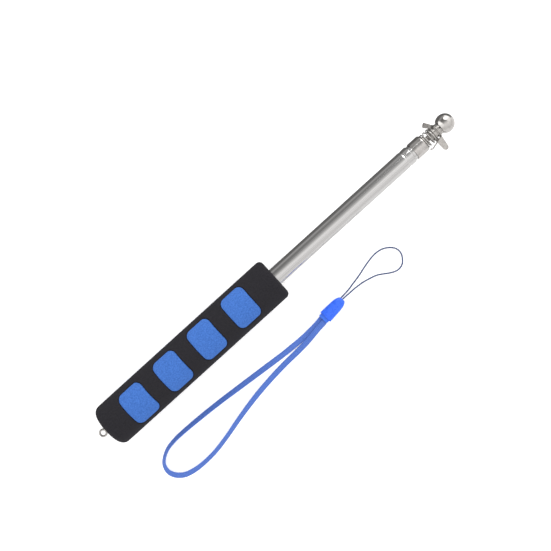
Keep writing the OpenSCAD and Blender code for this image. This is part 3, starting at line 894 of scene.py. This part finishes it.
def add_cap():
    """Hollow cap that closes the mouth, with a rounded front edge."""
    low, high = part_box("tip_cap")
    r = (high.z - low.z) / 2
    skirt, end_wall, soft = 0.45 * MM, 3.3 * MM, 0.1 * MM
    inside, wall_back = r - skirt, high.x - end_wall
    outline = soft_outline([
        (low.x, inside, soft), (low.x, r, 0.34 * MM), (high.x, r, 1.2 * MM),
        (high.x, ROD_R, soft), (wall_back, ROD_R, soft), (wall_back, inside, 0.3 * MM),
    ], steps=6)
    cap = mesh_object("end_cap", *turned(outline, segments=128))
    dress(cap, BRIGHT_PLATE, "section_5", "plated_cap", "tip_cap")


def add_ball():
    """Ball whose back is flat where the split washer bears on it."""
    low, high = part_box("ball_finial")
    radius = (high.z - low.z) / 2
    centre = high.x - radius
    neck = math.acos((low.x - centre) / radius)
    pole = 0.01 * MM             # radius of the small hole left at the front, which keeps quads
    steps = 40
    outline = [(low.x, ROD_R)]
    for j in range(steps + 1):
        a = neck * (1 - j / steps)
        outline.append((centre + radius * math.cos(a), max(radius * math.sin(a), pole)))
    ball = mesh_object("ball_end", *turned(outline, segments=96, closed=False))
    dress(ball, BRIGHT_PLATE, "section_5", "polished_ball", "ball_finial")


def add_spring():
    """Compression spring with closed ends."""
    low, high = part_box("clip_spring")
    wire = 1.0 * MM
    radius = (high.z - low.z - wire) / 2
    turns, steps, around = 4, 40, 14
    flat = 0.55                  # how much the coil flattens towards its ends
    start, rise = low.x + wire / 2, high.x - low.x - wire
    rings = []
    for i in range(turns * steps + 1):
        t = i / (turns * steps)
        a = 2 * math.pi * turns * t
        ends = t - math.sin(2 * math.pi * t) / (2 * math.pi) * flat
        x = start + rise * ends
        out = Vector((0, math.cos(a), math.sin(a)))
        centre = Vector((x, 0, AXIS_Z)) + out * radius
        rings.append([
            centre + wire / 2 * (math.cos(b) * out + math.sin(b) * Vector((1, 0, 0)))
            for b in [2 * math.pi * j / around for j in range(around)]
        ])
    coil = mesh_object("coil_spring", *lofted(rings))
    dress(coil, SPRING_WIRE, "section_5", "spring_steel", "clip_spring")
    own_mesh(coil)


def add_stud():
    """Threaded rod through the cap, spring and clip."""
    low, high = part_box("tip_stud")
    r = (high.z - low.z) / 2
    pitch, depth = 0.8 * MM, 0.28 * MM
    around, step = 36, 0.1 * MM
    count = round((high.x - low.x) / step)
    rings = []
    for i in range(count + 1):
        x = low.x + (high.x - low.x) * i / count
        ring = []
        for j in range(around):
            a = 2 * math.pi * j / around
            phase = (x / pitch - j / around) % 1.0
            cut = depth * (1 - abs(2 * phase - 1)) if 0 < i < count else depth
            ring.append((x, (r - cut) * math.sin(a), AXIS_Z + (r - cut) * math.cos(a)))
        rings.append(ring)
    stud = mesh_object("threaded_rod", *lofted(rings))
    dress(stud, PLATED, "section_5", "plated_steel", "tip_stud")


def add_clamp_washer():
    low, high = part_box("clamp_washer")
    r = (high.z - low.z) / 2
    bore_edge, rim = 0.05 * MM, 0.25 * MM
    outline = soft_outline([
        (low.x, ROD_R, bore_edge), (low.x, r, rim), (high.x, r, rim), (high.x, ROD_R, bore_edge),
    ])
    washer = mesh_object("flat_washer", *turned(outline, segments=96))
    dress(washer, BRIGHT_PLATE, "section_5", "plated_steel", "clamp_washer")


def add_lock_washer():
    """Split ring whose two ends stand a little apart along the rod."""
    low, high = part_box("lock_washer")
    outer, thick = (high.z - low.z) / 2, high.x - low.x
    inner = ROD_R + 0.1 * MM
    spring = 0.2 * MM            # how far apart the ends stand
    gap, steps = math.radians(16), 88
    section = rounded_box(outer - inner, thick - spring, 0.2 * MM)
    rings = []
    for i in range(steps + 1):
        a = gap / 2 + (2 * math.pi - gap) * i / steps
        middle = Vector(((low.x + high.x) / 2 + (i / steps - 0.5) * spring, 0, AXIS_Z))
        out = Vector((0, math.sin(a), math.cos(a)))
        rings.append([
            middle + out * ((outer + inner) / 2 + u) + Vector((v, 0, 0)) for u, v in section
        ])
    split = mesh_object("split_washer", *lofted(rings))
    dress(split, SPRING_WIRE, "section_5", "spring_steel", "lock_washer")


def add_hub():
    """Sleeve that slides on the rod, with a flange for the spring and a rolled front end."""
    low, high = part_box("clip_hub")
    bore, r, flange, rolled = 2.55 * MM, 4.6 * MM, 6.0 * MM, 5.4 * MM
    seat, seat_front, leaves_front = 168.8 * MM, 169.8 * MM, 173.2 * MM
    soft, corner, rim = 0.15 * MM, 0.1 * MM, 0.2 * MM
    outline = soft_outline([
        (low.x, bore, soft), (low.x, r, soft), (seat, r, corner), (seat, flange, rim),
        (seat_front, flange, rim), (seat_front, r, corner), (leaves_front, r, corner),
        (leaves_front, rolled, rim), (high.x, rolled, rim), (high.x, bore, soft),
    ])
    hub = mesh_object("clip_bush", *turned(outline, segments=96))
    dress(hub, PLATED, "clip", "plated_steel", "clip_hub")


def add_eye():
    """Forged eye: a ring with a true round hole, on a conical collar and a shank."""
    low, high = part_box("lanyard_eye")
    hole, outer, tall, steps = 1.9 * MM, 3.5 * MM, 2.4 * MM, 72
    centre = Vector((low.x + outer, 0, AXIS_Z))
    section = rounded_box(outer - hole, tall, 0.75 * MM, steps=5)
    rings = []
    for i in range(steps):
        a = 2 * math.pi * i / steps
        out = Vector((math.cos(a), math.sin(a), 0))
        rings.append([centre + out * ((outer + hole) / 2 + u) + Vector((0, 0, v)) for u, v in section])
    collar_gap, shank, pole = 0.2 * MM, 2.0 * MM, 0.01 * MM
    tip, root = centre.x + hole + collar_gap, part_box("grip_foam")[0].x - 1.2 * MM
    collar = soft_outline([
        (tip, pole, 0), (tip, 2.4 * MM, 0.3 * MM), (tip + 1.3 * MM, 3.1 * MM, 2.0 * MM),
        (root, 4.5 * MM, 0.15 * MM), (root, shank, 0.1 * MM),
        (high.x, shank, 0.4 * MM), (high.x, pole, 0),
    ], closed=False)
    shells = [lofted(rings, closed=True), turned(collar, segments=64, closed=False)]
    eye = mesh_object("screw_eye", *joined(shells))
    dress(eye, PLATED, "pole", "plated_steel", "lanyard_eye")


def add_butt_plug():
    """Black plug with a low dome over the end of the foam."""
    low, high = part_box("butt_plug")
    end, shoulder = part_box("grip_foam")[0].x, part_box("tube_1")[0].x
    bore, in_foam, in_tube, sharp = 2.05 * MM, 7.36 * MM, 6.96 * MM, 0.05 * MM
    outline = soft_outline([
        (low.x, bore, sharp), (low.x, 4.7 * MM, 1.0 * MM), (end - 0.9 * MM, 7.2 * MM, 2.0 * MM),
        (end - 0.4 * MM, 9.1 * MM, 0.4 * MM), (end, 9.4 * MM, 0.1 * MM), (end, in_foam, sharp),
        (shoulder, in_foam, sharp), (shoulder, in_tube, sharp),
        (high.x, in_tube, 0.4 * MM), (high.x, bore, 0.1 * MM),
    ])
    plug = mesh_object("end_plug", *turned(outline, segments=96))
    dress(plug, BLACK_PLASTIC, "pole", "black_plastic", "butt_plug")


# ---- Clip leaves ----

LEAF = 0.8 * MM              # sheet thickness
TAB_DROP = math.radians(12)


def leaf_ring(back, radius):
    """The leaf's disc, held between the hub's flange and its rolled end."""
    bore, soft, rim = 4.62 * MM, 0.05 * MM, 0.2 * MM
    front = back + LEAF
    outline = soft_outline([
        (back, bore, soft), (back, radius, rim), (front, radius, rim), (front, bore, soft),
    ])
    return turned(outline, segments=96)


def finger_tab(root_width, end_width, length, round_end, bead):
    """A stamped tongue from y = 0 to length, with rounded edges and a raised U-shaped bead."""
    stations, around = 26, 40
    inset, spread = 1.3 * MM, 0.45 * MM     # the bead's place in from the edge, and its width
    square, flat = 0.75, 0.3                # powers below 1 make the section's sides squarer
    under = 0.8                             # share of the bead's height that the underside takes
    rings = []
    for i in range(stations + 1):
        t = 1 - (1 - i / stations) ** 1.8
        y = length * t
        half = (root_width + (end_width - root_width) * t) / 2
        if y > length - round_end:
            half *= math.sqrt(max(0.02, 1 - ((y - length + round_end) / round_end) ** 2))
        ring = []
        for j in range(around):
            a = 2 * math.pi * j / around
            c, s = math.cos(a), math.sin(a)
            x = math.copysign(abs(c) ** square, c) * half
            z = math.copysign(abs(s) ** flat, s) * LEAF / 2
            edge = min(half - abs(x), length - y)
            ridge = math.exp(-((edge - inset) / spread) ** 2)
            ring.append((x, y, z + bead * ridge * (1 if s > 0 else under)))
        rings.append(ring)
    return lofted(rings)


def add_lower_leaf():
    """Disc, finger tab and a leg that opens out to a lip bent inwards."""
    leg_y, leg_tall = 5.8 * MM, 5.5 * MM
    tab_x, disc_x, disc_r = 170.3 * MM, 172.4 * MM, 6.2 * MM
    root_width, end_width, round_end, bead = 6.5 * MM, 4.3 * MM, 2.1 * MM, 0.35 * MM
    length = (-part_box("clip_leaf_lower")[0].y - leg_y) / math.cos(TAB_DROP)
    tab = placed(
        finger_tab(root_width, end_width, length, round_end, bead),
        Matrix.Translation((tab_x, -leg_y, AXIS_Z)) @ Matrix.Rotation(math.pi, 4, "Z")
        @ Matrix.Rotation(-TAB_DROP, 4, "X"),
    )
    route = [  # x and y in millimetres
        (173.0, -5.3), (172.2, -6.05), (168.0, -7.09), (164.0, -8.09), (161.4, -8.72),
        (160.35, -8.6), (160.0, -7.6),
    ]
    leg_line = smooth_line([(x * MM, y * MM, AXIS_Z) for x, y in route], 8)
    section = rounded_box(LEAF, leg_tall, 0.3 * MM)
    leg = swept(even_line(leg_line, 0.35 * MM), lambda i: (section, 0.0))
    leaf = mesh_object("clip_lower", *joined([leaf_ring(disc_x, disc_r), tab, leg]))
    dress(leaf, PLATED, "clip", "plated_steel", "clip_leaf_lower")


def add_upper_leaf():
    """Disc, and a finger tab that widens from a narrow root and leans back."""
    disc_x, disc_r, root_x, root_y, root_gap = 171.6 * MM, 5.5 * MM, 173.2 * MM, 4.1 * MM, 1.6 * MM
    root_width, end_width, length, round_end = 3.0 * MM, 5.0 * MM, 7.2 * MM, 1.0 * MM
    lean = Matrix.Rotation(math.radians(38), 4, "Z")
    start = Vector((root_x, root_y, AXIS_Z)) + lean @ Vector((0, root_gap, 0))
    tab = placed(
        finger_tab(root_width, end_width, length, round_end, 0.0),
        Matrix.Translation(start) @ lean @ Matrix.Rotation(-TAB_DROP, 4, "X"),
    )
    leaf = mesh_object("clip_upper", *joined([leaf_ring(disc_x, disc_r), tab]))
    dress(leaf, PLATED, "clip", "plated_steel", "clip_leaf_upper")


# ---- CAD nodes that stay ----


def finish_cad_nodes():
    """Materials and soft edges for the plain inner pieces, whose names start as given here."""
    kept = {
        "stop_pad": RUBBER, "tip_plug": CAST_ALLOY, "cap_nut": PLATED,
        "mouth_bush": WHITE_PLASTIC, "slide_bush": BRASS,
    }
    for name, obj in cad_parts.items():
        for start, material in kept.items():
            if name.startswith(start):
                obj.data.materials.clear()
                obj.data.materials.append(material)
                bevel = obj.modifiers.new("soft_edges", "BEVEL")
                bevel.width = 0.08 * MM
                bevel.segments = 2
                bevel.limit_method = "ANGLE"
                bevel.angle_limit = math.radians(50)


add_camera()
add_band()
add_loop()
add_world()
add_floor()
add_light("left_end", (0.75, 0.75, 0.8), 0.6, 5)
add_ferrule()
add_strap_plug()
add_grip()
add_inlays()
add_tubes()
add_cap()
add_ball()
add_spring()
add_stud()
add_clamp_washer()
add_lock_washer()
add_hub()
add_eye()
add_butt_plug()
add_lower_leaf()
add_upper_leaf()
finish_cad_nodes()
bpy.context.scene.view_settings.view_transform = "Standard"
